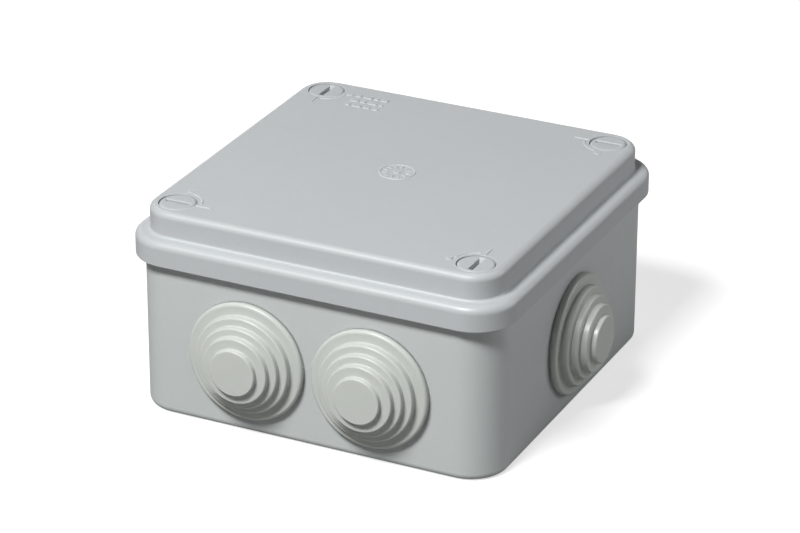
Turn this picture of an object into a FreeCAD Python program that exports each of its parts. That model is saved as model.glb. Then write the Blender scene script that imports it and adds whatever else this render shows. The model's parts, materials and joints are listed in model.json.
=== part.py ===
import FreeCAD, Part

import math
import os

# Surface-mounted electrical junction box, 100 x 100 mm inside, in millimetres.
# Origin: centre of the underside. +Z runs out through the lid and +X runs along the front wall,
# which faces -Y. Each function below returns one separate piece of the assembly.

# Box base: a square tray with rounded corners
BODY_HALF = 52.25
BODY_CORNER = 10.6
BODY_BOTTOM_ROUND = 1.9
WALL = 2.2
RIM_Z = 47.3
INNER_FLOOR_ROUND = 1.2

# Underside: a shallow recess inside a flat resting band, drained by a groove at the front
RECESS_HALF = 44.0
RECESS_CORNER = 6.0
RECESS_DEPTH = 0.6
DRAIN_DEPTH = 0.35
DRAIN_WIDTH = 6.8
DRAIN_X = -9.1

# Lid: a crown standing on a wider flange, whose skirt laps over the base
FLANGE_HALF = 54.5
FLANGE_CORNER = 11.7
FLANGE_ROUND = 2.0
SKIRT_Z = 43.9
FLANGE_Z = 50.8
CROWN_HALF = 50.72
CROWN_CORNER = 8.6
CROWN_ROUND = 1.8
CROWN_ROOT_ROUND = 0.7
LID_TOP_Z = 57.9
LID_WALL = 2.0
LAP_GAP = 0.2
RIB_WALL = 1.25
RIB_Z = 46.5
SKIRT_EDGE_ROUND = 0.3

# Lid gasket, sitting in the channel between the lid's rib and skirt
GASKET_GAP = 0.1
GASKET_LIFT = 0.05

# Corner posts and quarter-turn lid screws
SCREW_XY = 43.0
POST_RADIUS = 7.5
POST_Z = 46.0
LEDGE = 2.0
POCKET_RADIUS = 4.7
POCKET_Z = 8.0
HEAD_RADIUS = 5.0
HEAD_HEIGHT = 2.6
HEAD_EDGE_ROUND = 0.75
HEAD_GAP = 0.2
SEAT_RADIUS = 6.2
SEAT_BOTTOM_Z = 46.6
SHANK_RADIUS = 2.8
RUNNING_GAP = 0.08
LUG_LENGTH = 8.6
LUG_WIDTH = 2.8
LUG_HEIGHT = 2.0
LUG_GAP = 0.1
KEYHOLE_GAP = 0.2
SCREW_TIP = 1.5
BEAD_RADIUS = 3.2
BEAD_HEIGHT = 0.4
BEAD_GAP = 0.1
SLOT_TOP_LENGTH = 7.4
SLOT_BOTTOM_LENGTH = 5.8
SLOT_WIDTH = 1.35
SLOT_DEPTH = 1.5
SLOT_EDGE_ROUND = 0.3

# Raised marks on the lid: quarter-turn signs beside the screws, plain bars and a mould clock
MARK_HEIGHT = 0.22
MARK_WIDTH = 0.45
ARC_RADIUS = 6.4
ARC_FROM = 12.0
ARC_TO = 78.0
DASH_START = 5.4
DASH_END = 9.8
DOT_DISTANCE = 7.5
DOT_RADIUS = 0.9
BARS_X = -33.5
BARS_Y = 43.0
BAR_LINES = ((1.6, 2.4, 1.2, 2.0), (2.2, 1.4, 2.6, 1.0), (1.2, 2.6, 1.8, 1.6))
BAR_WIDTH = 1.5
BAR_SPACE = 0.9
BAR_LINE_PITCH = 3.3
CLOCK_RADIUS = 5.0
CLOCK_TICKS = 12
TICK_START = 2.6
TICK_END = 4.0
CLOCK_DOT_RADIUS = 1.0

# Cable entries: holes in the side walls, closed by stepped soft grommets
ENTRY_Z = 21.3
ENTRY_SPACING = 36.0
ENTRY_HOLE_RADIUS = 14.4
STEP_RADII = (16.8, 13.6, 11.4, 9.3, 6.5)
STEP_FACES = (2.0, 4.1, 5.9, 7.7, 9.2)
STEP_ROUNDS = (0.9, 0.5, 0.45, 0.4, 0.4)
GROMMET_SKIN = 1.5
MEMBRANE = 1.0
GROOVE_GAP = 0.08
LIP_RADIUS = 15.8
LIP_THICK = 1.8
LIP_ROUND = 0.8

# Wall-fixing holes in the floor, each in a raised boss with a sealing cap
FIXING_X = 40.0
FIXING_Y = 27.0
FIXING_HOLE_RADIUS = 2.25
FIXING_SEAT_Z = 4.0
FIXING_BOSS_Z = 7.2
FIXING_BOSS_RADIUS = 6.0
FIXING_BORE_RADIUS = 4.5
FIXING_PAD_RADIUS = 7.0
CAP_LIP_RADIUS = 5.5
CAP_LIP = 0.8
CAP_PLUG = 2.0
CAP_WALL = 1.0
CAP_GAP = 0.06
CAP_SLOT_LENGTH = 5.0
CAP_SLOT_WIDTH = 0.8
CAP_SLOT_DEPTH = 0.4

# Terminal: a five-pole housing along X on two floor bosses
POLES = 5
POLE_PITCH = 10.0
HOUSING_Z = 6.2
HOUSING_HEIGHT = 16.3
HOUSING_DEPTH = 19.0
HOUSING_ROUND = 0.6
HOUSING_FLOOR = 1.2
MIDDLE_WALL = 4.2
CHAMBER_WIDTH = 7.4
CHAMBER_HEIGHT = 11.4
EAR_LENGTH = 8.0
EAR_DEPTH = 10.0
EAR_HEIGHT = 5.0
EAR_X = 29.0
EAR_HOLE_RADIUS = 1.65
FLOOR_BOSS_RADIUS = 4.0
FLOOR_BOSS_HOLE = 1.55
FLOOR_BOSS_HOLE_Z = 1.2

# Rising clamp cages, busbars and clamp screws
CAGE_WIDTH = 7.2
CAGE_DEPTH = 6.0
CAGE_HEIGHT = 8.5
CAGE_WALL = 0.9
CAGE_FLOOR = 1.0
CAGE_TOP = 2.0
CAGE_REST_GAP = 0.1
CAGE_Y = 5.3
BUSBAR_WIDTH = 5.2
BUSBAR_THICK = 1.2
BUSBAR_LENGTH = 16.2
BUSBAR_Z = 12.6
BUSBAR_GAP = 0.05
CLAMP_SHANK_RADIUS = 1.7
CLAMP_HEAD_RADIUS = 2.7
CLAMP_HEAD_Z = 19.0
CLAMP_HEAD_HEIGHT = 2.2
CLAMP_SLOT_WIDTH = 0.8
CLAMP_SLOT_DEPTH = 1.1
SMALL_GAP = 0.05

# Screws that hold the terminal housing down
FIXING_SCREW_RADIUS = 1.5
FIXING_SCREW_HEAD_RADIUS = 2.9
FIXING_SCREW_HEAD = 1.9
FIXING_SCREW_HEAD_ROUND = 0.8
FIXING_SCREW_TIP_Z = 1.5
CROSS_WIDTH = 0.8
CROSS_LENGTH = 3.4
CROSS_DEPTH = 1.1

# Room left past a surface so that a cutting tool runs clear of it
CLEAR = 1.0

CORNERS = {
    "front_left": (-1, -1),
    "front_right": (1, -1),
    "back_left": (-1, 1),
    "back_right": (1, 1),
}
# Outward bearing of each entry in degrees about +Z, and its offset along X
ENTRIES = {
    "front_left": (-90.0, -ENTRY_SPACING / 2),
    "front_right": (-90.0, ENTRY_SPACING / 2),
    "back_left": (90.0, -ENTRY_SPACING / 2),
    "back_right": (90.0, ENTRY_SPACING / 2),
    "left": (180.0, 0.0),
    "right": (0.0, 0.0),
}
SIDES = {"front": -1, "back": 1}

UP = FreeCAD.Vector(0, 0, 1)
INNER_HALF = BODY_HALF - WALL
INNER_CORNER = BODY_CORNER - WALL
LAP_HALF = BODY_HALF + LAP_GAP
LAP_CORNER = BODY_CORNER + LAP_GAP
RIB_HALF = INNER_HALF - LAP_GAP
RIB_CORNER = INNER_CORNER - LAP_GAP
HOLLOW_HALF = RIB_HALF - RIB_WALL
HOLLOW_CORNER = RIB_CORNER - RIB_WALL
CHANNEL_Z = FLANGE_Z - LID_WALL
LEDGE_Z = POST_Z - LEDGE
HOUSING_TOP_Z = HOUSING_Z + HOUSING_HEIGHT


def rounded_square(half, corner, z):
    """Closed face of a square with rounded corners, centred on the Z axis."""
    flat = half - corner
    edges = []
    for quarter in range(4):
        turn = FreeCAD.Rotation(UP, 90.0 * quarter)
        start = turn.multVec(FreeCAD.Vector(half, -flat, z))
        end = turn.multVec(FreeCAD.Vector(half, flat, z))
        reach = flat + corner / math.sqrt(2)
        middle = turn.multVec(FreeCAD.Vector(reach, reach, z))
        finish = turn.multVec(FreeCAD.Vector(flat, half, z))
        edges.append(Part.LineSegment(start, end).toShape())
        edges.append(Part.Arc(end, middle, finish).toShape())
    return Part.Face(Part.Wire(edges))


def slab(half, corner, bottom, top):
    """Rounded-square prism between two heights."""
    return rounded_square(half, corner, bottom).extrude(UP * (top - bottom))


def drum(radius, bottom, top, x=0.0, y=0.0):
    """Upright cylinder between two heights."""
    return Part.makeCylinder(radius, top - bottom, FreeCAD.Vector(x, y, bottom))


def block(width, depth, bottom, top, x=0.0, y=0.0):
    """Upright box centred on (x, y), between two heights."""
    corner = FreeCAD.Vector(x - width / 2, y - depth / 2, bottom)
    return Part.makeBox(width, depth, top - bottom, corner)


def rounded_at(shape, z, radius, reach=math.inf):
    """The shape with the edges that lie flat at height z, within reach of the axis, rounded."""
    edges = []
    for edge in shape.Edges:
        box = edge.BoundBox
        flat = abs(box.ZMin - z) < 1e-4 and abs(box.ZMax - z) < 1e-4
        if flat and max(box.XMax, -box.XMin, box.YMax, -box.YMin) < reach:
            edges.append(edge)
    return shape.makeFillet(radius, edges)


def fused(first, others):
    """One solid made of a shape and the shapes that join it."""
    return first.multiFuse(others).removeSplitter()


def moved(shape, x, y, z=0.0, turn=0.0):
    """Copy of a shape turned about the Z axis and then shifted."""
    copy = shape.copy()
    copy.Placement = FreeCAD.Placement(
        FreeCAD.Vector(x, y, z), FreeCAD.Rotation(UP, turn)
    )
    return copy


def entry_place(bearing, offset):
    """Placement that stands the local +Z axis out of the wall at one cable entry."""
    angle = math.radians(bearing)
    outward = FreeCAD.Vector(math.cos(angle), math.sin(angle), 0)
    position = outward * BODY_HALF + FreeCAD.Vector(offset, 0, ENTRY_Z)
    return FreeCAD.Placement(position, FreeCAD.Rotation(UP, outward))


def slot_turn(side_x, side_y):
    """Rest bearing of a lid screw's slot and lugs: along X on one diagonal, Y on the other."""
    return 0.0 if side_x == side_y else 90.0


def screw_pocket(side_x, side_y):
    """Pocket under the ledge of a post, with the keyhole that lets the lugs in."""
    pocket = drum(POCKET_RADIUS, POCKET_Z, LEDGE_Z)
    hole = drum(BEAD_RADIUS, LEDGE_Z - CLEAR, POST_Z + CLEAR)
    length = LUG_LENGTH + 2 * KEYHOLE_GAP
    width = LUG_WIDTH + 2 * KEYHOLE_GAP
    slot = block(length, width, LEDGE_Z - CLEAR, POST_Z + CLEAR)
    cutter = fused(pocket, [hole, slot])
    x = side_x * SCREW_XY
    y = side_y * SCREW_XY
    return moved(cutter, x, y, 0.0, slot_turn(side_x, side_y))


def box_base():
    """Square tray with corner posts, wall-fixing bosses and holes for the grommets."""
    tray = rounded_at(slab(BODY_HALF, BODY_CORNER, 0, RIM_Z), 0, BODY_BOTTOM_ROUND)
    inside = slab(INNER_HALF, INNER_CORNER, WALL, RIM_Z + CLEAR)
    tray = tray.cut(rounded_at(inside, WALL, INNER_FLOOR_ROUND))
    recess = slab(RECESS_HALF, RECESS_CORNER, -CLEAR, RECESS_DEPTH)
    additions = []
    cuts = []
    for side_x, side_y in CORNERS.values():
        post_x = side_x * SCREW_XY
        post_y = side_y * SCREW_XY
        additions.append(drum(POST_RADIUS, WALL / 2, POST_Z, post_x, post_y))
        cuts.append(screw_pocket(side_x, side_y))
        x = side_x * FIXING_X
        y = side_y * FIXING_Y
        additions.append(drum(FIXING_BOSS_RADIUS, WALL / 2, FIXING_BOSS_Z, x, y))
        recess = recess.cut(drum(FIXING_PAD_RADIUS, -CLEAR, RECESS_DEPTH, x, y))
        cuts.append(drum(FIXING_HOLE_RADIUS, -CLEAR, FIXING_SEAT_Z + CLEAR, x, y))
        cuts.append(drum(FIXING_BORE_RADIUS, FIXING_SEAT_Z, RIM_Z, x, y))
    for side in (-1, 1):
        x = side * EAR_X
        additions.append(drum(FLOOR_BOSS_RADIUS, WALL / 2, HOUSING_Z, x))
        cuts.append(drum(FLOOR_BOSS_HOLE, FLOOR_BOSS_HOLE_Z, RIM_Z, x))
    for bearing, offset in ENTRIES.values():
        hole = drum(ENTRY_HOLE_RADIUS, -WALL - CLEAR, CLEAR)
        hole.Placement = entry_place(bearing, offset)
        cuts.append(hole)
    drain_length = BODY_HALF - RECESS_HALF + CLEAR
    drain_y = -RECESS_HALF - drain_length / 2 + CLEAR / 2
    cuts.append(block(DRAIN_WIDTH, drain_length + CLEAR, -CLEAR, DRAIN_DEPTH, DRAIN_X, drain_y))
    cuts.append(recess)
    return fused(tray, additions).cut(cuts).removeSplitter()


def quarter_turn_signs(side_x, side_y):
    """Raised arc, dash and dot beside one lid screw, on the side that faces the lid's centre."""
    bottom = LID_TOP_Z - MARK_HEIGHT
    top = LID_TOP_Z + MARK_HEIGHT
    outer = drum(ARC_RADIUS + MARK_WIDTH / 2, bottom, top)
    ring = outer.cut(drum(ARC_RADIUS - MARK_WIDTH / 2, bottom, top))
    span = Part.makeCylinder(
        2 * ARC_RADIUS, top - bottom, FreeCAD.Vector(0, 0, bottom), UP, ARC_TO - ARC_FROM
    )
    arc = ring.common(moved(span, 0, 0, 0, ARC_FROM))
    dash_length = DASH_END - DASH_START
    dash = block(dash_length, MARK_WIDTH, bottom, top, DASH_START + dash_length / 2)
    dot = drum(DOT_RADIUS, bottom, top, 0, DOT_DISTANCE)
    # The local +X dash lies in line with the resting slot, so one diagonal mirrors the other
    inward = {(-1, -1): 0.0, (1, -1): 90.0, (1, 1): 180.0, (-1, 1): 270.0}[(side_x, side_y)]
    signs = []
    for shape in (arc, dash, dot):
        signs.append(moved(shape, side_x * SCREW_XY, side_y * SCREW_XY, 0, inward))
    return signs


def plain_marks():
    """Lines of plain raised bars near one corner, and a mould clock with ticks at the centre."""
    bottom = LID_TOP_Z - MARK_HEIGHT
    top = LID_TOP_Z + MARK_HEIGHT
    marks = []
    for line, lengths in enumerate(BAR_LINES):
        x = BARS_X
        y = BARS_Y - line * BAR_LINE_PITCH
        for bar_length in lengths:
            marks.append(block(bar_length, BAR_WIDTH, bottom, top, x + bar_length / 2, y))
            x += bar_length + BAR_SPACE
    ring = drum(CLOCK_RADIUS, bottom, top)
    marks.append(ring.cut(drum(CLOCK_RADIUS - MARK_WIDTH, bottom, top)))
    marks.append(drum(CLOCK_DOT_RADIUS, bottom, top))
    length = TICK_END - TICK_START
    tick = block(length, MARK_WIDTH, bottom, top, TICK_START + length / 2)
    for number in range(CLOCK_TICKS):
        marks.append(moved(tick, 0, 0, 0, number * 360.0 / CLOCK_TICKS))
    return marks


def lid():
    """Hollow lid with a lapping skirt, a gasket channel and four guides for the lid screws."""
    flange = slab(FLANGE_HALF, FLANGE_CORNER, SKIRT_Z, FLANGE_Z)
    flange = rounded_at(flange, FLANGE_Z, FLANGE_ROUND)
    flange = rounded_at(flange, SKIRT_Z, SKIRT_EDGE_ROUND)
    crown = slab(CROWN_HALF, CROWN_CORNER, CHANNEL_Z, LID_TOP_Z)
    crown = rounded_at(crown, LID_TOP_Z, CROWN_ROUND)
    shell = fused(flange, [crown])
    shell = rounded_at(shell, FLANGE_Z, CROWN_ROOT_ROUND, CROWN_HALF + CLEAR)
    mouth = slab(LAP_HALF, LAP_CORNER, SKIRT_Z - CLEAR, RIB_Z)
    channel = slab(LAP_HALF, LAP_CORNER, RIB_Z, CHANNEL_Z)
    channel = channel.cut(slab(RIB_HALF, RIB_CORNER, RIB_Z, CHANNEL_Z))
    hollow = slab(HOLLOW_HALF, HOLLOW_CORNER, RIB_Z, LID_TOP_Z - LID_WALL)
    shell = shell.cut([mouth, channel, hollow])
    additions = plain_marks()
    cuts = []
    for side_x, side_y in CORNERS.values():
        x = side_x * SCREW_XY
        y = side_y * SCREW_XY
        additions.append(drum(SEAT_RADIUS, SEAT_BOTTOM_Z, LID_TOP_Z, x, y))
        additions += quarter_turn_signs(side_x, side_y)
        seat_z = LID_TOP_Z - HEAD_HEIGHT
        cuts.append(drum(HEAD_RADIUS + HEAD_GAP, seat_z, LID_TOP_Z + CLEAR, x, y))
        cuts.append(drum(SHANK_RADIUS + RUNNING_GAP, SKIRT_Z, LID_TOP_Z, x, y))
    return fused(shell, additions).cut(cuts).removeSplitter()


def lid_gasket():
    """Square ring seal between the lid's channel and the rim of the base."""
    bottom = RIM_Z + GASKET_LIFT
    ring = slab(LAP_HALF - GASKET_GAP, LAP_CORNER - GASKET_GAP, bottom, CHANNEL_Z)
    return ring.cut(slab(RIB_HALF + GASKET_GAP, RIB_CORNER + GASKET_GAP, bottom, CHANNEL_Z))


def lid_screw():
    """Captive quarter-turn screw: slotted head, shank, snap bead and two bayonet lugs."""
    seat_z = LID_TOP_Z - HEAD_HEIGHT
    lug_top = LEDGE_Z - LUG_GAP
    lug_bottom = lug_top - LUG_HEIGHT
    head = rounded_at(drum(HEAD_RADIUS, seat_z, LID_TOP_Z), LID_TOP_Z, HEAD_EDGE_ROUND)
    shank = drum(SHANK_RADIUS, lug_bottom - SCREW_TIP, seat_z)
    bead_top = SEAT_BOTTOM_Z - BEAD_GAP
    bead = drum(BEAD_RADIUS - RUNNING_GAP, bead_top - BEAD_HEIGHT, bead_top)
    lugs = block(LUG_LENGTH, LUG_WIDTH, lug_bottom, lug_top)
    lugs = lugs.common(drum(LUG_LENGTH / 2, lug_bottom, lug_top))
    screw = fused(head, [shank, bead, lugs])
    # The slot is full depth along its middle and slopes up at both ends
    slope = (SLOT_TOP_LENGTH - SLOT_BOTTOM_LENGTH) / (2 * SLOT_DEPTH)
    outline = []
    for x_sign, depth in ((-1, SLOT_DEPTH), (-1, -CLEAR), (1, -CLEAR), (1, SLOT_DEPTH)):
        x = x_sign * (SLOT_TOP_LENGTH / 2 - slope * depth)
        outline.append(FreeCAD.Vector(x, -SLOT_WIDTH / 2, LID_TOP_Z - depth))
    face = Part.Face(Part.makePolygon(outline + outline[:1]))
    screw = screw.cut(face.extrude(FreeCAD.Vector(0, SLOT_WIDTH, 0)))
    return rounded_at(screw, LID_TOP_Z, SLOT_EDGE_ROUND, HEAD_RADIUS - HEAD_EDGE_ROUND)


def grommet():
    """Stepped soft grommet about the local +Z axis, its collar gripping the wall below z = 0."""
    wall_back = -WALL - GROOVE_GAP
    lip_back = wall_back - LIP_THICK
    collar = ENTRY_HOLE_RADIUS - GROOVE_GAP
    steps = []
    hollows = []
    below = 0.0
    for radius, face, edge in zip(STEP_RADII, STEP_FACES, STEP_ROUNDS):
        steps.append(rounded_at(drum(radius, below, face), face, edge))
        inner = min(radius, collar) - GROMMET_SKIN
        ceiling = face - (MEMBRANE if radius == STEP_RADII[-1] else GROMMET_SKIN)
        hollows.append(drum(inner, lip_back - CLEAR, ceiling))
        below = face
    lip = rounded_at(drum(LIP_RADIUS, lip_back, wall_back), lip_back, LIP_ROUND)
    solid = fused(steps[0], steps[1:] + [drum(collar, wall_back, 0), lip])
    return solid.cut(hollows).removeSplitter()


def fixing_hole_cap():
    """Push-in sealing cap for the bore above one wall-fixing hole."""
    plug_z = FIXING_BOSS_Z - CAP_PLUG
    radius = FIXING_BORE_RADIUS - CAP_GAP
    top = FIXING_BOSS_Z + CAP_LIP
    plug = drum(radius, plug_z, FIXING_BOSS_Z)
    plug = plug.cut(drum(radius - CAP_WALL, plug_z, FIXING_BOSS_Z))
    lip = rounded_at(drum(CAP_LIP_RADIUS, FIXING_BOSS_Z, top), top, CAP_LIP / 2)
    slot = block(CAP_SLOT_LENGTH, CAP_SLOT_WIDTH, top - CAP_SLOT_DEPTH, top + CLEAR)
    return fused(lip, [plug]).cut(slot)


def pole_x(pole):
    """Position along X of one terminal pole, counted from 1 at the left."""
    return (pole - (POLES + 1) / 2) * POLE_PITCH


def terminal_housing():
    """Insulating housing with one open chamber per clamp, driver holes and two fixing ears."""
    body = block(POLES * POLE_PITCH, HOUSING_DEPTH, HOUSING_Z, HOUSING_TOP_Z)
    body = rounded_at(body, HOUSING_TOP_Z, HOUSING_ROUND)
    additions = []
    cuts = []
    for side in (-1, 1):
        x = side * (POLES * POLE_PITCH + EAR_LENGTH) / 2
        ear_top = HOUSING_Z + EAR_HEIGHT
        additions.append(block(EAR_LENGTH, EAR_DEPTH, HOUSING_Z, ear_top, x))
        cuts.append(drum(EAR_HOLE_RADIUS, HOUSING_Z - CLEAR, ear_top + CLEAR, side * EAR_X))
    chamber_z = HOUSING_Z + HOUSING_FLOOR
    chamber_depth = (HOUSING_DEPTH - MIDDLE_WALL) / 2 + CLEAR
    chamber_y = MIDDLE_WALL / 2 + chamber_depth / 2
    for pole in range(1, POLES + 1):
        x = pole_x(pole)
        slot_width = BUSBAR_WIDTH + 2 * BUSBAR_GAP
        slot_z = BUSBAR_Z - BUSBAR_GAP
        slot_top = BUSBAR_Z + BUSBAR_THICK + BUSBAR_GAP
        cuts.append(block(slot_width, BUSBAR_LENGTH, slot_z, slot_top, x))
        for side in SIDES.values():
            chamber_top = chamber_z + CHAMBER_HEIGHT
            y = side * chamber_y
            cuts.append(block(CHAMBER_WIDTH, chamber_depth, chamber_z, chamber_top, x, y))
            driver_hole = CLAMP_HEAD_RADIUS + SMALL_GAP
            cuts.append(drum(driver_hole, chamber_z, HOUSING_TOP_Z + CLEAR, x, side * CAGE_Y))
    return fused(body, additions).cut(cuts).removeSplitter()


def busbar(pole):
    """Flat bar that joins the two clamps of one pole."""
    top = BUSBAR_Z + BUSBAR_THICK
    return block(BUSBAR_WIDTH, BUSBAR_LENGTH, BUSBAR_Z, top, pole_x(pole))


def clamp_cage(pole, side):
    """Square cage around a busbar end, with the tapped hole of its clamp screw on top."""
    x = pole_x(pole)
    y = SIDES[side] * CAGE_Y
    bottom = HOUSING_Z + HOUSING_FLOOR + CAGE_REST_GAP
    top = bottom + CAGE_HEIGHT
    cage = block(CAGE_WIDTH, CAGE_DEPTH, bottom, top, x, y)
    window_width = CAGE_WIDTH - 2 * CAGE_WALL
    window_depth = CAGE_DEPTH + 2 * CLEAR
    window = block(window_width, window_depth, bottom + CAGE_FLOOR, top - CAGE_TOP, x, y)
    hole = drum(CLAMP_SHANK_RADIUS + SMALL_GAP, top - CAGE_TOP - CLEAR, top + CLEAR, x, y)
    return cage.cut([window, hole])


def clamp_screw(pole, side):
    """Slotted clamp screw whose tip stands on the busbar."""
    tip_z = BUSBAR_Z + BUSBAR_THICK + SMALL_GAP
    top = CLAMP_HEAD_Z + CLAMP_HEAD_HEIGHT
    head = drum(CLAMP_HEAD_RADIUS, CLAMP_HEAD_Z, top)
    shank = drum(CLAMP_SHANK_RADIUS, tip_z, CLAMP_HEAD_Z)
    slot_length = 2 * (CLAMP_HEAD_RADIUS + CLEAR)
    slot = block(slot_length, CLAMP_SLOT_WIDTH, top - CLAMP_SLOT_DEPTH, top + CLEAR)
    return moved(fused(head, [shank]).cut(slot), pole_x(pole), SIDES[side] * CAGE_Y)


def housing_fixing_screw():
    """Cross-slotted screw that holds one ear of the terminal housing to its floor boss."""
    seat = HOUSING_Z + EAR_HEIGHT
    top = seat + FIXING_SCREW_HEAD
    head = drum(FIXING_SCREW_HEAD_RADIUS, seat, top)
    head = rounded_at(head, top, FIXING_SCREW_HEAD_ROUND)
    shank = drum(FIXING_SCREW_RADIUS, FIXING_SCREW_TIP_Z, seat)
    cross = [
        block(CROSS_LENGTH, CROSS_WIDTH, top - CROSS_DEPTH, top + CLEAR),
        block(CROSS_WIDTH, CROSS_LENGTH, top - CROSS_DEPTH, top + CLEAR),
    ]
    return fused(head, [shank]).cut(cross)


def build_pieces():
    """Every piece of the assembly by name."""
    pieces = {
        "box_base": box_base(),
        "lid": lid(),
        "lid_gasket": lid_gasket(),
        "terminal_housing": terminal_housing(),
    }
    for corner, (side_x, side_y) in CORNERS.items():
        turn = slot_turn(side_x, side_y)
        x = side_x * SCREW_XY
        y = side_y * SCREW_XY
        pieces[f"lid_screw_{corner}"] = moved(lid_screw(), x, y, 0, turn)
        cap = moved(fixing_hole_cap(), side_x * FIXING_X, side_y * FIXING_Y)
        pieces[f"fixing_hole_cap_{corner}"] = cap
    for entry, (bearing, offset) in ENTRIES.items():
        stepped = grommet()
        stepped.Placement = entry_place(bearing, offset)
        pieces[f"grommet_{entry}"] = stepped
    for name, side in (("left", -1), ("right", 1)):
        screw = moved(housing_fixing_screw(), side * EAR_X, 0)
        pieces[f"housing_fixing_screw_{name}"] = screw
    for pole in range(1, POLES + 1):
        pieces[f"busbar_{pole}"] = busbar(pole)
        for side in SIDES:
            pieces[f"clamp_cage_{pole}_{side}"] = clamp_cage(pole, side)
            pieces[f"clamp_screw_{pole}_{side}"] = clamp_screw(pole, side)
    return pieces


def main():
    """Write one STEP file per piece."""
    os.makedirs("parts", exist_ok=True)
    for name, shape in build_pieces().items():
        if len(shape.Solids) != 1 or not shape.isValid():
            raise ValueError(f"{name} isn't one valid solid")
        shape.Solids[0].exportStep(os.path.join("parts", f"{name}.step"))


main()
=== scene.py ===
import bpy
import json
import math
from mathutils import Matrix, Vector, noise


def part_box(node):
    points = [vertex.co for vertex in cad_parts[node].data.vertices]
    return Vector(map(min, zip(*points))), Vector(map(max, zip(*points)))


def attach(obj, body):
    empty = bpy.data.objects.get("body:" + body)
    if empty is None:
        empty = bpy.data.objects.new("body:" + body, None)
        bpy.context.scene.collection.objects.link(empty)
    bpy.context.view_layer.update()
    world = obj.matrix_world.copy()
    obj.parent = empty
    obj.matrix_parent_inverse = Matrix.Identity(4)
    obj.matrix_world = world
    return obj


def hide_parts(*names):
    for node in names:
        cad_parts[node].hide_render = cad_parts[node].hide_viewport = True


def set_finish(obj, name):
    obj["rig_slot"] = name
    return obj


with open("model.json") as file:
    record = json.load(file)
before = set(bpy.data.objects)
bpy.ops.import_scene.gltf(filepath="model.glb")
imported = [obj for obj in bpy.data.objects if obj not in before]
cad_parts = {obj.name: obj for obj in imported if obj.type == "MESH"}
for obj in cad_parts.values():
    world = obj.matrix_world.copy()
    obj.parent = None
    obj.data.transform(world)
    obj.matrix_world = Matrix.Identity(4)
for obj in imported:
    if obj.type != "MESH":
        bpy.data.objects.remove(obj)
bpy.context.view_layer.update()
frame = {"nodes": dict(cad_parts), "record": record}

MM = 0.001

# Without a seed, Blender's noise is different in each run
NOISE_SEED = 5
noise.seed_set(NOISE_SEED)

# Stepped grommet, in mm: radius, height of the face above the wall, and edge round of each step
STEPS = (
    (16.8, 2.0, 0.9),
    (13.6, 4.1, 0.5),
    (11.4, 5.9, 0.45),
    (9.3, 7.7, 0.4),
    (6.5, 9.2, 0.4),
)
STEP_ROOT_ROUND = 0.2
STEP_SLOPE = 0.05
FLANGE_UNDERCUT = 0.1
SKIN = 1.5
MEMBRANE = 1.0
HOLLOW_ROUND = 0.3
COLLAR_RADIUS = 14.32

# Lip behind the wall: its radius, the places of its two faces, its taper and its edge rounds
LIP_RADIUS = 15.8
LIP_FRONT = -2.28
LIP_BACK = -4.08
LIP_TAPER = 0.5
LIP_FRONT_ROUND = 0.2
LIP_BACK_ROUND = 0.8
LIP_FLARE = 0.4
LIP_FLARE_ROUND = 0.5

# Steps round the lathe, step along an arc, and depth and length of the rubber's unevenness
LATHE_SEGMENTS = 160
ARC_STEP = 0.15
RUBBER_UNEVEN = 0.035
RUBBER_WAVE = 7.0

# Foam seal under the lid, in mm; its section is a square with soft corners
SEAL_OUTER_CORNER = 10.7
SEAL_WIDTH = 2.4
SEAL_SECTION_STEPS = 20
SEAL_SQUARENESS = 0.55
SEAL_CORNER_STEPS = 14
SEAL_SIDE_STEPS = 40
SEAL_UNEVEN = 0.04
SEAL_WAVE = 3.0
SEAL_CONTACT = 0.2

# How strongly large faces lead the shading of the rounded edges beside them; 50 is neutral
FACE_WEIGHT = 80


# ---------------------------------------------------------------- meshes

def rounded_line(points):
    """Polyline of (radius, height, round) points with an arc in place of each rounded corner."""
    line = []
    for index, (x, y, reach) in enumerate(points):
        here = Vector((x, y))
        if reach == 0.0:
            line.append(here)
            continue
        back = (Vector(points[index - 1][:2]) - here).normalized()
        onward = (Vector(points[index + 1][:2]) - here).normalized()
        angle = back.angle(onward)
        run = reach / math.tan(angle / 2)
        centre = here + (back + onward).normalized() * (reach / math.sin(angle / 2))
        first = here + back * run - centre
        last = here + onward * run - centre
        sweep = first.angle_signed(last)
        count = max(3, round(reach / ARC_STEP) + 2)
        for step in range(count + 1):
            turn = Matrix.Rotation(-sweep * step / count, 2)
            line.append(centre + turn @ first)
    return line


def grommet_profile():
    """Half section of a grommet, from the middle of its outer face round to the middle inside."""
    points = [(0.0, STEPS[-1][1], 0.0)]
    for index in range(len(STEPS) - 1, -1, -1):
        radius, face, edge = STEPS[index]
        points.append((radius, face - STEP_SLOPE, edge))
        if index:
            points.append((radius + STEP_SLOPE, STEPS[index - 1][1], STEP_ROOT_ROUND))
    points.append((STEPS[0][0] - FLANGE_UNDERCUT, 0.0, 0.0))
    points.append((COLLAR_RADIUS, 0.0, 0.0))
    points.append((COLLAR_RADIUS, LIP_FRONT, 0.0))
    points.append((LIP_RADIUS, LIP_FRONT, LIP_FRONT_ROUND))
    points.append((LIP_RADIUS - LIP_TAPER, LIP_BACK, LIP_BACK_ROUND))
    inner = [min(radius, COLLAR_RADIUS) - SKIN for radius, face, edge in STEPS]
    points.append((inner[0] + LIP_FLARE, LIP_BACK, LIP_FLARE_ROUND))
    last = len(STEPS) - 1
    for index in range(len(STEPS)):
        thick = MEMBRANE if index == last else SKIN
        ceiling = STEPS[index][1] - thick
        points.append((inner[index], ceiling, HOLLOW_ROUND))
        if index < last:
            points.append((inner[index + 1], ceiling, HOLLOW_ROUND))
    points.append((0.0, STEPS[-1][1] - MEMBRANE, 0.0))
    return rounded_line(points)


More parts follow.
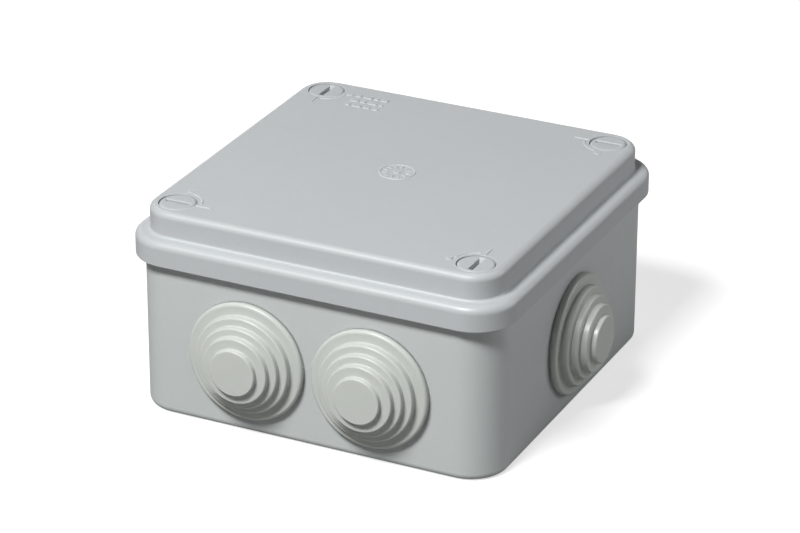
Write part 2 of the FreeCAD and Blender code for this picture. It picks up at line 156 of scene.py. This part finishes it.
def mesh_object(name, verts, faces):
    """Smooth-shaded mesh object, in metres."""
    mesh = bpy.data.meshes.new(name)
    mesh.from_pydata(verts, [], faces)
    mesh.validate()
    mesh.shade_smooth()
    piece = bpy.data.objects.new(name, mesh)
    bpy.context.collection.objects.link(piece)
    return piece


def lathe(name, line, centre, outward):
    """Closed solid of revolution about the axis through centre, along outward."""
    across = Vector((0, 0, 1)).cross(outward).normalized()
    rise = outward.cross(across)
    rings = len(line) - 2
    verts = []
    for point in line[1:-1]:
        for step in range(LATHE_SEGMENTS):
            angle = math.tau * step / LATHE_SEGMENTS
            spoke = across * math.cos(angle) + rise * math.sin(angle)
            verts.append(centre + (spoke * point.x + outward * point.y) * MM)
    faces = []
    for ring in range(rings - 1):
        for step in range(LATHE_SEGMENTS):
            onward = (step + 1) % LATHE_SEGMENTS
            low = ring * LATHE_SEGMENTS
            high = low + LATHE_SEGMENTS
            faces.append((low + step, high + step, high + onward, low + onward))
    for ring, point in ((0, line[0]), (rings - 1, line[-1])):
        verts.append(centre + outward * point.y * MM)
        pole = len(verts) - 1
        start = ring * LATHE_SEGMENTS
        for step in range(LATHE_SEGMENTS):
            onward = (step + 1) % LATHE_SEGMENTS
            pair = (start + step, start + onward)
            faces.append((pole, *pair) if ring == 0 else (pole, *reversed(pair)))
    wave = 1.0 / (RUBBER_WAVE * MM)
    soft = []
    for vert in verts:
        soft.append(vert + noise.noise_vector(vert * wave) * RUBBER_UNEVEN * MM)
    return mesh_object(name, soft, faces)


def weighted(piece):
    """Keeps flat faces looking flat beside their rounded edges."""
    shading = piece.modifiers.new("weighted_normals", "WEIGHTED_NORMAL")
    shading.keep_sharp = True
    shading.weight = FACE_WEIGHT
    return piece


OUTWARD = {
    "front_left": Vector((0, -1, 0)),
    "front_right": Vector((0, -1, 0)),
    "back_left": Vector((0, 1, 0)),
    "back_right": Vector((0, 1, 0)),
    "left": Vector((-1, 0, 0)),
    "right": Vector((1, 0, 0)),
}


def build_grommets():
    """Six soft grommets in the places that the CAD holds for them."""
    line = grommet_profile()
    made = []
    for entry, outward in OUTWARD.items():
        node = f"grommet_{entry}"
        low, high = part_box(node)
        middle = (low + high) / 2
        reach = max((high - low).dot(outward), (low - high).dot(outward)) / 2
        back = middle - outward * reach
        wall = back - outward * LIP_BACK * MM
        piece = weighted(lathe(f"soft_{node}", line, wall, outward))
        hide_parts(node)
        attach(piece, "box")
        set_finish(piece, "grommet")
        made.append(piece)
    return made


def seal_path(half, corner):
    """Points and outward directions round a rounded square."""
    flat = half - corner
    path = []
    for quarter in range(4):
        turn = Matrix.Rotation(math.pi / 2 * quarter, 3, "Z")
        for step in range(SEAL_SIDE_STEPS):
            y = -flat + 2 * flat * step / SEAL_SIDE_STEPS
            path.append((turn @ Vector((half, y, 0)), turn @ Vector((1, 0, 0))))
        for step in range(SEAL_CORNER_STEPS):
            angle = math.pi / 2 * step / SEAL_CORNER_STEPS
            out = Vector((math.cos(angle), math.sin(angle), 0))
            path.append((turn @ (Vector((flat, flat, 0)) + out * corner), turn @ out))
    return path


def build_seal():
    """Foam cord seal in the lid's channel, pressed a little flat where the rim meets it."""
    low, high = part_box("lid_gasket")
    half = high.x / MM - SEAL_WIDTH / 2
    bottom = low.z / MM
    top = high.z / MM
    section = []
    for step in range(SEAL_SECTION_STEPS):
        angle = math.tau * step / SEAL_SECTION_STEPS
        across = math.cos(angle)
        rise = math.sin(angle)
        x = math.copysign(abs(across) ** SEAL_SQUARENESS, across) * SEAL_WIDTH / 2
        z = math.copysign(abs(rise) ** SEAL_SQUARENESS, rise) * (top - bottom) / 2
        section.append((x, z + (top + bottom) / 2))
    verts = []
    path = seal_path(half, SEAL_OUTER_CORNER - SEAL_WIDTH / 2)
    for place, out in path:
        for x, z in section:
            vert = place + out * x + Vector((0, 0, z))
            shift = noise.noise_vector(vert / SEAL_WAVE) * SEAL_UNEVEN
            inside = 1.0 if min(abs(z - bottom), abs(z - top)) > SEAL_CONTACT else 0.0
            verts.append((vert + Vector((shift.x, shift.y, 0)) * inside) * MM)
    faces = []
    ring = len(section)
    for index in range(len(path)):
        here = index * ring
        after = (index + 1) % len(path) * ring
        for step in range(ring):
            onward = (step + 1) % ring
            faces.append((here + step, after + step, after + onward, here + onward))
    piece = mesh_object("soft_lid_gasket", verts, faces)
    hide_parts("lid_gasket")
    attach(piece, "lid")
    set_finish(piece, "gasket")
    return [piece]


# ------------------------------------------------------------- materials

# Lengths are in mm. A shade multiplies a material's colour, and a share says how much of it shows.

# Edges: samples that find them, and the cosines at which a bend counts fully and not at all
EDGE_SAMPLES = 6
EDGE_FULL = 0.93
EDGE_NONE = 0.995

# Moulded plastic: broad and fine mottling
MOTTLE_SIZE = 22.0
MOTTLE_SHADES = (0.975, 1.02)
FINE_SIZE = 0.7
FINE_SHADE = 0.94
FINE_SHARE = 0.35

# Moulded plastic: rare dark specks
SPECK_SPACING = 24.0
SPECK_RADIUS = 0.22
SPECK_SHADE = 0.3
SPECK_SHARE = 0.6

# Moulded plastic: lighter edges, part rubbed wear and part painted highlight, and patches of more
# and less gloss
LIGHTER_EDGE_REACH = 0.5
RUBBED_GLOSS = 0.05
GLOSS_PATCH = 3.5
GLOSS_SPREAD = (-0.05, 0.06)

# Moulded plastic: slow waves and fine eroded grain
WAVE_LENGTH = 16.0
WAVE_DEPTH = 0.25
GRAIN_SIZE = 0.3
GRAIN_DEPTH = 0.012

# Moulded plastic: how light bends and, in a soft one, how far it travels inside
PLASTIC_IOR = 1.5
SOFT_RADIUS = (1.0, 0.85, 0.7)
SOFT_REACH = 1.2

# Foam: open pores in its skin, painted darker as the shade inside them
PORE_SIZE = 0.45
PORE_SHADE = 0.5
PORE_EDGE = 0.5
PORE_STRENGTH = 0.8
PORE_DEPTH = 0.15
FOAM_PATCH = 1.5
FOAM_ROUGHNESS = (0.75, 0.95)
FOAM_EDGE = 0.05

# Metal: drawing lines, tarnish and rubbed edges
LINE_SIZE = 0.5
LINE_STRENGTH = 0.3
LINE_DEPTH = 0.02
LINE_GLOSS = (-0.08, 0.12)
TARNISH_SIZE = 4.0
TARNISH_SHADE = 0.72
TARNISH_SHARE = 0.8
BRIGHT_REACH = 0.25
BRIGHT_SHADE = 1.15
BRIGHT_SHARE = 0.5
BRIGHT_GLOSS = 0.08
METAL_EDGE = 0.1


class Paint:
    """Node material whose patterns follow the piece, in millimetres."""

    def __init__(self, name):
        self.mat = bpy.data.materials.new(name)
        self.mat.use_nodes = True
        self.nodes = self.mat.node_tree.nodes
        self.links = self.mat.node_tree.links
        self.bsdf = self.nodes["Principled BSDF"]
        self.output = self.nodes["Material Output"]
        self.coord = self.add("ShaderNodeTexCoord").outputs["Object"]

    def add(self, kind, inputs=None, **values):
        node = self.nodes.new(kind)
        for key, value in values.items():
            setattr(node, key, value)
        for key, value in (inputs or {}).items():
            if isinstance(value, bpy.types.NodeSocket):
                self.links.new(value, node.inputs[key])
            else:
                node.inputs[key].default_value = value
        return node

    def noise(self, size, detail=4.0, rough=0.55, stretch=None):
        coord = self.coord
        if stretch:
            scaled = self.add("ShaderNodeMapping", {"Vector": coord, "Scale": stretch})
            coord = scaled.outputs["Vector"]
        values = {
            "Vector": coord,
            "Scale": 1.0 / (size * MM),
            "Detail": detail,
            "Roughness": rough,
        }
        return self.add("ShaderNodeTexNoise", values).outputs["Fac"]

    def ramp(self, value, low, high, start=0.3, end=0.7):
        values = {
            "Value": value,
            "From Min": start,
            "From Max": end,
            "To Min": low,
            "To Max": high,
        }
        return self.add("ShaderNodeMapRange", values).outputs["Result"]

    def math(self, operation, a, b):
        return self.add("ShaderNodeMath", {0: a, 1: b}, operation=operation).outputs[0]

    def mix(self, factor, a, b):
        values = {"Factor": factor}
        for key, colour in (("A", a), ("B", b)):
            if not isinstance(colour, bpy.types.NodeSocket):
                colour = (*colour, 1.0)
            values[key] = colour
        # A colour mix has its own A and B sockets, after the ones for numbers and vectors
        node = self.add("ShaderNodeMix", data_type="RGBA")
        named = {socket.identifier: socket for socket in node.inputs}
        for key, value in values.items():
            socket = named[{"Factor": "Factor_Float", "A": "A_Color", "B": "B_Color"}[key]]
            if isinstance(value, bpy.types.NodeSocket):
                self.links.new(value, socket)
            else:
                socket.default_value = value
        return {s.identifier: s for s in node.outputs}["Result_Color"]

    def bump(self, height, strength, distance, normal):
        values = {
            "Height": height,
            "Strength": strength,
            "Distance": distance * MM,
            "Normal": normal,
        }
        return self.add("ShaderNodeBump", values).outputs["Normal"]

    def rounded(self, radius):
        bevel = self.add("ShaderNodeBevel", {"Radius": radius * MM}, samples=EDGE_SAMPLES)
        return bevel.outputs["Normal"]

    def edges(self, radius):
        """About 1 on outer and inner edges and 0 on flat faces."""
        plain = self.add("ShaderNodeNewGeometry").outputs["Normal"]
        values = {0: self.rounded(radius), 1: plain}
        dot = self.add("ShaderNodeVectorMath", values, operation="DOT_PRODUCT")
        return self.ramp(dot.outputs["Value"], 1.0, 0.0, EDGE_FULL, EDGE_NONE)

    def to(self, value, name):
        if isinstance(value, bpy.types.NodeSocket):
            self.links.new(value, self.bsdf.inputs[name])
        else:
            self.bsdf.inputs[name].default_value = value


def shade(colour, factor):
    return tuple(min(1.0, channel * factor) for channel in colour)


def moulded(name, colour, rough, edge=0.12, grain=0.3, soft=0.0, wave=0.25, edge_wear_and_highlight=0.03):
    """Moulded plastic: mottling, specks, eroded grain, slow waves and lighter edges, part rubbed
    wear and part painted highlight.
    """
    p = Paint(name)
    dull, bright = MOTTLE_SHADES
    broad = p.mix(p.noise(MOTTLE_SIZE, 3.0), shade(colour, dull), shade(colour, bright))
    dark = p.ramp(p.noise(FINE_SIZE, 3.0), 0.0, FINE_SHARE)
    fine = p.mix(dark, broad, shade(colour, FINE_SHADE))
    spread = {"Vector": p.coord, "Scale": 1.0 / (SPECK_SPACING * MM)}
    away = p.add("ShaderNodeTexVoronoi", spread).outputs["Distance"]
    size = SPECK_RADIUS / SPECK_SPACING
    speck = p.ramp(away, SPECK_SHARE, 0.0, size / 2, size)
    fine = p.mix(speck, fine, shade(colour, SPECK_SHADE))
    edge_band = p.edges(LIGHTER_EDGE_REACH)
    # Edges are painted lighter: slight rubbed wear, and on the lid and its screws a painted
    # highlight on rims, slots and marks
    p.to(p.mix(edge_band, fine, shade(colour, 1.0 + edge_wear_and_highlight)), "Base Color")
    base = p.ramp(p.noise(GLOSS_PATCH, 5.0), rough + GLOSS_SPREAD[0], rough + GLOSS_SPREAD[1])
    p.to(p.math("SUBTRACT", base, p.math("MULTIPLY", edge_band, RUBBED_GLOSS)), "Roughness")
    slow = p.bump(p.noise(WAVE_LENGTH, 1.0), wave, WAVE_DEPTH, p.rounded(edge))
    p.to(p.bump(p.noise(GRAIN_SIZE, 2.0), grain, GRAIN_DEPTH, slow), "Normal")
    p.to(PLASTIC_IOR, "IOR")
    if soft:
        p.to(soft, "Subsurface Weight")
        p.to(SOFT_RADIUS, "Subsurface Radius")
        p.to(SOFT_REACH * MM, "Subsurface Scale")
    return p.mat


def foam(name, colour):
    """Dark closed-cell foam with open pores at its skin, their shade painted darker."""
    p = Paint(name)
    values = {"Vector": p.coord, "Scale": 1.0 / (PORE_SIZE * MM)}
    pores = p.add("ShaderNodeTexVoronoi", values).outputs["Distance"]
    skin = p.ramp(pores, 0.0, 1.0, 0.0, PORE_EDGE)
    # Pores painted darker: painted shade inside them
    p.to(p.mix(skin, shade(colour, PORE_SHADE), colour), "Base Color")
    p.to(p.ramp(p.noise(FOAM_PATCH), *FOAM_ROUGHNESS), "Roughness")
    p.to(p.bump(pores, PORE_STRENGTH, PORE_DEPTH, p.rounded(FOAM_EDGE)), "Normal")
    return p.mat


def metal(name, colour, rough, stretch=(1.0, 1.0, 1.0)):
    """Drawn or plated metal: drawing lines, faint tarnish and bright rubbed edges."""
    p = Paint(name)
    p.to(1.0, "Metallic")
    lines = p.noise(LINE_SIZE, 5.0, 0.6, stretch)
    dull = p.ramp(p.noise(TARNISH_SIZE, 5.0), 0.0, TARNISH_SHARE)
    tarnish = p.mix(dull, colour, shade(colour, TARNISH_SHADE))
    edge_band = p.edges(BRIGHT_REACH)
    bright = p.math("MULTIPLY", edge_band, BRIGHT_SHARE)
    p.to(p.mix(bright, tarnish, shade(colour, BRIGHT_SHADE)), "Base Color")
    base = p.ramp(lines, rough + LINE_GLOSS[0], rough + LINE_GLOSS[1])
    p.to(p.math("SUBTRACT", base, p.math("MULTIPLY", edge_band, BRIGHT_GLOSS)), "Roughness")
    p.to(p.bump(lines, LINE_STRENGTH, LINE_DEPTH, p.rounded(METAL_EDGE)), "Normal")
    return p.mat


GREY = (0.51, 0.54, 0.54)
# The lid's grey is a little darker than the box's, and its bluish tint is painted light, standing
# in for bluish light on the lid's top
LID_GREY_LIGHT_TINTED = (0.466, 0.487, 0.500)
RUBBER = (0.532, 0.557, 0.53)
BLACK = (0.035, 0.035, 0.036)
NYLON = (0.72, 0.70, 0.62)
BRASS = (0.80, 0.60, 0.30)
NICKEL = (0.72, 0.70, 0.64)
ZINC = (0.68, 0.70, 0.72)
DRAWN_ALONG_Y = (1.0, 0.05, 1.0)

MATERIALS = {
    "enclosure": moulded("enclosure_plastic", GREY, 0.42),
    # Much lighter edges on the lid and its screws: a painted highlight on their rims, slots and
    # marks
    "lid_plastic": moulded("lid_plastic", LID_GREY_LIGHT_TINTED, 0.42, edge_wear_and_highlight=0.22),
    "lid_screw": moulded("lid_screw_plastic", LID_GREY_LIGHT_TINTED, 0.36, grain=0.15, edge_wear_and_highlight=0.15),
    "grommet": moulded("grommet_elastomer", RUBBER, 0.36, edge=0.05, grain=0.25,
                       soft=0.12, wave=0.5),
    "cap": moulded("cap_plastic", GREY, 0.45),
    "gasket": foam("gasket_foam", BLACK),
    "terminal_plastic": moulded("terminal_nylon", NYLON, 0.4),
    "brass_bar": metal("brass", BRASS, 0.3, DRAWN_ALONG_Y),
    "brass_cage": metal("nickel_plate", NICKEL, 0.3, DRAWN_ALONG_Y),
    "zinc_screw": metal("zinc_plate", ZINC, 0.32),
}


def finish_surfaces(soft_pieces):
    """Gives every CAD node and every new piece the material of its slot."""
    for part in frame["record"]["subparts"]:
        for material_slot in frame["nodes"][part["node"]].material_slots:
            material_slot.material = MATERIALS[part["material_slot"]]
    for piece in soft_pieces:
        piece.data.materials.append(MATERIALS[piece["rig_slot"]])


# ---------------------------------------------------------------- studio

# Lengths are in metres, angles in degrees and powers in watts.
WHITE = (1.0, 1.0, 1.0)

# Floor: the grey that the camera sees, and the darker grey that throws light back at the box
FLOOR_SIZE = 16.0
FLOOR_SEEN = 0.45
FLOOR_BOUNCE = 0.28
FLOOR_ROUGHNESS = 0.95
PAPER_MOTTLE = 60.0
PAPER_SHADE = 0.985

# Glow of the floor near the box and far from it, and the distances where it changes
NEAR_GLOW = 0.66
FAR_GLOW = 1.0
GLOW_FROM = 0.3
GLOW_TO = 0.8

# Backdrop: how bright it looks and how much light it throws
WORLD_SEEN = 1.0
WORLD_LIGHT = 0.01

LIGHT_DISTANCE = 1.3
NEAR_LIGHT_DISTANCE = 0.6

# Camera: lens and sensor in mm, place, and the directions of the picture's right and up
CAMERA_LENS = 157.56
CAMERA_SENSOR = 36.0
CAMERA_NEAR = 0.05
CAMERA_PLACE = (0.37336, -0.77182, 0.43331)
CAMERA_RIGHT = (0.90001, 0.43587, 0.00303)
CAMERA_UP = (-0.18799, 0.38189, 0.90488)


def build_floor():
    """Pale floor that looks near white and throws little light back up."""
    half = FLOOR_SIZE / 2
    corners = [(-half, -half, 0), (half, -half, 0), (half, half, 0), (-half, half, 0)]
    floor = mesh_object("floor", corners, [(0, 1, 2, 3)])
    p = Paint("floor_paper")
    mottle = p.noise(PAPER_MOTTLE, 3.0)
    pale = shade(WHITE, FLOOR_SEEN)
    seen = p.mix(mottle, shade(pale, PAPER_SHADE), pale)
    camera_ray = p.add("ShaderNodeLightPath").outputs["Is Camera Ray"]
    p.to(p.mix(camera_ray, shade(WHITE, FLOOR_BOUNCE), seen), "Base Color")
    p.to(FLOOR_ROUGHNESS, "Roughness")
    p.to(0.0, "Specular IOR Level")
    p.to((*WHITE, 1.0), "Emission Color")
    away = p.add("ShaderNodeVectorMath", {0: p.coord}, operation="LENGTH").outputs["Value"]
    glow = p.ramp(away, NEAR_GLOW, FAR_GLOW, GLOW_FROM, GLOW_TO)
    p.to(p.math("MULTIPLY", camera_ray, glow), "Emission Strength")
    floor.data.materials.append(p.mat)


def softbox(name, bearing, elevation, power, size, distance=LIGHT_DISTANCE, colour=WHITE):
    """Soft rectangular light aimed at the box; bearing is 0 in front and 90 on its right."""
    light = bpy.data.lights.new(name, "AREA")
    light.shape = "RECTANGLE"
    light.size, light.size_y = size
    light.energy = power
    light.color = colour
    piece = bpy.data.objects.new(name, light)
    bpy.context.collection.objects.link(piece)
    turn = math.radians(bearing)
    rise = math.radians(elevation)
    flat = math.cos(rise)
    back = Vector((math.sin(turn) * flat, -math.cos(turn) * flat, math.sin(rise)))
    piece.location = back * distance
    piece.rotation_mode = "QUATERNION"
    piece.rotation_quaternion = back.to_track_quat("Z", "Y")
    return piece


def build_world():
    """Backdrop that looks white and throws almost no light."""
    world = bpy.data.worlds.new("studio")
    world.use_nodes = True
    nodes = world.node_tree.nodes
    strength = nodes.new("ShaderNodeMapRange")
    strength.inputs["To Min"].default_value = WORLD_LIGHT
    strength.inputs["To Max"].default_value = WORLD_SEEN
    camera_ray = nodes.new("ShaderNodeLightPath").outputs["Is Camera Ray"]
    world.node_tree.links.new(camera_ray, strength.inputs["Value"])
    background = nodes["Background"]
    background.inputs["Color"].default_value = (*WHITE, 1.0)
    world.node_tree.links.new(strength.outputs["Result"], background.inputs["Strength"])
    bpy.context.scene.world = world


def build_lights():
    """One window-like key light high in front, and weaker fills on the right and behind."""
    softbox("key_light", -11.0, 54.0, 21.5, (0.4, 0.25), colour=(1.0, 1.0, 0.99))
    softbox("right_back_fill", 125.0, 15.0, 0.95, (0.3, 0.3), NEAR_LIGHT_DISTANCE)
    softbox("right_fill", 60.0, 15.0, 0.65, (0.6, 0.6))
    back_fill = softbox("back_left_fill", -140.0, 10.0, 8.0, (0.8, 0.4))
    # Without this, its light would glance off the lid towards the camera
    back_fill.visible_glossy = False


def build_camera():
    """Camera at the viewing angle of the reference view."""
    data = bpy.data.cameras.new("camera")
    data.sensor_width = CAMERA_SENSOR
    data.lens = CAMERA_LENS
    data.clip_start = CAMERA_NEAR
    camera = bpy.data.objects.new("camera", data)
    bpy.context.collection.objects.link(camera)
    right = Vector(CAMERA_RIGHT)
    up = Vector(CAMERA_UP)
    axes = Matrix((right, up, right.cross(up))).transposed()
    camera.location = Vector(CAMERA_PLACE)
    camera.rotation_mode = "QUATERNION"
    camera.rotation_quaternion = axes.to_quaternion()
    bpy.context.scene.camera = camera
    bpy.context.scene.view_settings.view_transform = "Standard"


finish_surfaces(build_grommets() + build_seal())
build_floor()
build_world()
build_lights()
build_camera()
